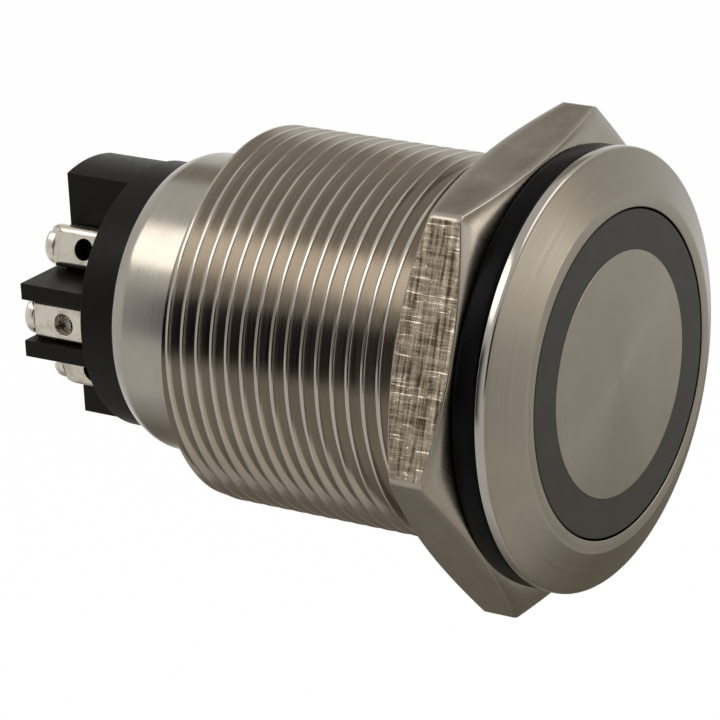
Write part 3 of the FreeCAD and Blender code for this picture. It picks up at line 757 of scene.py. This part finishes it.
def coil(name, node, radius, wire, turns, start, end):
    """A round-wire spring between two places along Y."""
    sides, per_turn = 10, 40
    count = int(turns * per_turn)
    bm = bmesh.new()
    rows = []
    for i in range(count + 1):
        a = 2 * math.pi * i / per_turn
        out = Vector((math.sin(a), 0, math.cos(a)))
        y = start + wire / 2 + (end - start - wire) * i / count
        row = []
        for k in range(sides):
            b = 2 * math.pi * k / sides
            spot = out * (radius + math.sin(b) * wire / 2)
            spot.y = y + math.cos(b) * wire / 2
            row.append(bm.verts.new(spot * MM))
        rows.append(row)
    skin(bm, rows)
    bm.faces.new(rows[0])
    bm.faces.new(rows[-1])
    clean(bm, 0.00001)
    mesh = to_mesh(bm, name, [spring_mat])
    smooth(mesh, 45)
    piece = link(name, mesh, "housing", (node,))
    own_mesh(piece)


# Inner pieces

def dress_inner_pieces():
    """Gives each inner node its material; their shapes stay as they are."""
    finishes = (
        (pale_mat, ("plunger", "contact_housing", "contact_carrier")),
        (rubber_mat, ("plunger_seal",)),
        (spring_mat, ("retaining_clip",)),
        (board_mat, ("led_board",)),
        (lamp_mat, ("leds",)),
        (brass_mat, ("led_lead_1", "led_lead_2", "bridge_nc", "bridge_no", "fixed_contact_nc_1",
                     "fixed_contact_nc_2", "fixed_contact_no_1", "fixed_contact_no_2")),
    )
    for material, names in finishes:
        for name in names:
            for slot in nodes[name].material_slots:
                slot.material = material


# Camera

def make_camera():
    """A long lens to the left of the front, a little above."""
    turn, rise = math.radians(CAMERA_TURN), math.radians(CAMERA_RISE)
    back = Vector((math.cos(rise) * math.sin(turn), -math.cos(rise) * math.cos(turn),
                   math.sin(rise)))
    right = Vector((math.cos(turn), math.sin(turn), 0))
    up = back.cross(right)
    data = bpy.data.cameras.new("camera")
    data.lens = LENS
    data.sensor_width = SENSOR
    data.clip_start = 0.01
    data.clip_end = 50
    camera = bpy.data.objects.new("camera", data)
    to_right, to_top, to_back = CAMERA_PLACE
    spot = (right * to_right + up * to_top + back * to_back) * MM
    axes = Matrix((right, up, back)).transposed().to_4x4()
    camera.matrix_world = Matrix.Translation(spot) @ axes
    scene.collection.objects.link(camera)
    scene.camera = camera


# Floor, cards, lamps and world

def blank_tree(owner):
    """The owner's node tree, emptied."""
    owner.use_nodes = True
    owner.node_tree.nodes.clear()
    return owner.node_tree


def shader_node(nt, kind, **inputs):
    """A new shader with these inputs set."""
    node = nt.nodes.new(kind)
    for socket, value in inputs.items():
        node.inputs[socket].default_value = value
    return node.outputs[0]


def mix_into(nt, output, share, low, high):
    """Ends the tree in a mix of two shaders: low where the share is 0, high where it is 1."""
    mix = nt.nodes.new("ShaderNodeMixShader")
    for socket, value in zip(mix.inputs, (share, low, high)):
        nt.links.new(value, socket)
    nt.links.new(mix.outputs[0], nt.nodes.new(output).inputs[0])


def seen_directly(nt):
    """1 for rays from the camera, a mirror or glass, and 0 for light that falls on things."""
    path = nt.nodes.new("ShaderNodeLightPath")
    total = path.outputs["Is Camera Ray"]
    for name in ("Is Glossy Ray", "Is Transmission Ray"):
        total = calc(nt, "MAXIMUM", total, path.outputs[name])
    return total


def make_floor():
    """A pale floor that is white to the camera and still holds the shadow."""
    mesh = bpy.data.meshes.new("floor")
    half, level = FLOOR_HALF, FLOOR_LEVEL
    mesh.from_pydata([(-half, -half, level), (half, -half, level), (half, half, level),
                      (-half, half, level)], [], [(0, 1, 2, 3)])
    mat = bpy.data.materials.new("pale_floor")
    nt = blank_tree(mat)
    share = calc(nt, "MULTIPLY", seen_directly(nt), FLOOR_GLOW_SHARE)
    plain = shader_node(nt, "ShaderNodeBsdfDiffuse",
                        Color=(FLOOR_GREY, FLOOR_GREY, FLOOR_GREY, 1))
    glow = shader_node(nt, "ShaderNodeEmission", Strength=FLOOR_GLOW)
    mix_into(nt, "ShaderNodeOutputMaterial", share, plain, glow)
    mesh.materials.append(mat)
    floor = bpy.data.objects.new("floor", mesh)
    scene.collection.objects.link(floor)


def make_card(name, centre, across, along, colour):
    """A dull card that only mirrors see; it fades out towards its edges."""
    signs = ((-1, -1), (1, -1), (1, 1), (-1, 1))
    centre, across, along = Vector(centre), Vector(across), Vector(along)
    mesh = bpy.data.meshes.new(name)
    mesh.from_pydata([centre + across * i + along * j for i, j in signs], [], [(0, 1, 2, 3)])
    uv = mesh.uv_layers.new(name="card")
    for loop, spot in zip(uv.data, signs):
        loop.uv = spot
    mat = bpy.data.materials.new(name)
    nt = blank_tree(mat)
    place = nt.nodes.new("ShaderNodeUVMap")
    place.uv_map = "card"
    split = nt.nodes.new("ShaderNodeSeparateXYZ")
    nt.links.new(place.outputs[0], split.inputs[0])
    masks = []
    for side in split.outputs[:2]:
        inside = calc(nt, "SUBTRACT", 1.0, calc(nt, "ABSOLUTE", side))
        masks.append(calc(nt, "MULTIPLY", inside, CARD_FADE, clamp=True))
    clear = shader_node(nt, "ShaderNodeBsdfTransparent")
    glow = shader_node(nt, "ShaderNodeEmission", Color=(*colour, 1))
    mix_into(nt, "ShaderNodeOutputMaterial", calc(nt, "MULTIPLY", *masks), clear, glow)
    mesh.materials.append(mat)
    card = bpy.data.objects.new(name, mesh)
    scene.collection.objects.link(card)
    card.visible_camera = False
    card.visible_diffuse = False
    card.visible_shadow = False
    card.visible_transmission = False


def make_lamp(name, place, size, power, colour):
    """A square lamp that faces the middle of the button."""
    light = bpy.data.lights.new(name, "AREA")
    light.energy = power
    light.color = colour
    light.size = size
    lamp = bpy.data.objects.new(name, light)
    lamp.location = place
    lamp.rotation_euler = (Vector(place) - Vector(LAMP_AIM)).to_track_quat("Z", "Y").to_euler()
    scene.collection.objects.link(lamp)


def make_world():
    """Even light from all round, behind which the camera sees white."""
    world = bpy.data.worlds.new("world")
    scene.world = world
    nt = blank_tree(world)
    ambient = shader_node(nt, "ShaderNodeBackground", Strength=WORLD_LIGHT)
    white = shader_node(nt, "ShaderNodeBackground", Color=(1, 1, 1, 1), Strength=1.0)
    mix_into(nt, "ShaderNodeOutputWorld", seen_directly(nt), ambient, white)


threaded_barrel()
button_face()
rubber_gasket()
panel_nut()
base_and_clamps()
slotted_screws()
coil("return_coil", "return_spring", radius=5.4, wire=0.5, turns=3.0, start=RING_REAR, end=6.5)
coil("carrier_coil", "carrier_spring", radius=1.5, wire=0.36, turns=4.0, start=20.4, end=25.4)
dress_inner_pieces()

make_camera()
make_floor()
for name, values in LAMPS.items():
    make_lamp(name, *values)
for name, values in CARDS.items():
    make_card(name, *values)
make_world()

scene.view_settings.view_transform = "Standard"
